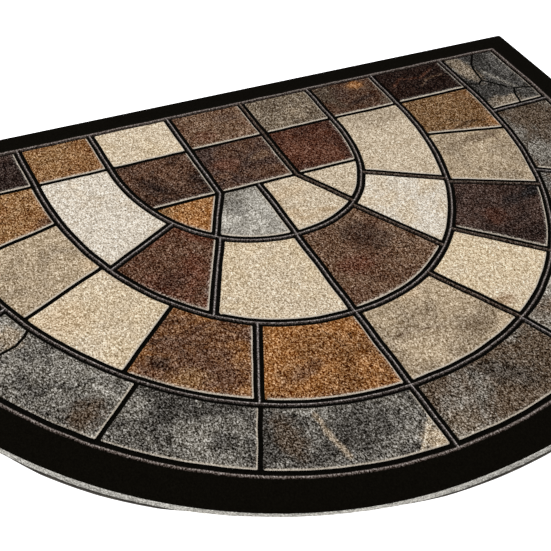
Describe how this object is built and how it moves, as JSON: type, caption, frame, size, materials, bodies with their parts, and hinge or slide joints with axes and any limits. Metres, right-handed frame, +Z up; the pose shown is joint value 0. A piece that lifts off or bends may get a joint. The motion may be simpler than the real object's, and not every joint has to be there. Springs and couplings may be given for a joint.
{
  "type": "half round doormat",
  "caption": "Half round doormat: a needled felt face moulded and printed like stone paving, on a thin rubber backing.",
  "frame": {"origin": "middle of the bounding box's underside, on the floor", "axes": "+X to the right along the straight back edge, +Y towards the back edge, which lies at the door, +Z up"},
  "size_m": [0.9144, 0.6096, 0.0095],
  "materials": {
    "printed_felt": "matte heathered pile",
    "dark_rubber": "matte"
  },
  "bodies": {
    "root": {"felt_face": "printed_felt", "rubber_backing": "dark_rubber"}
  },
  "joints": []
}
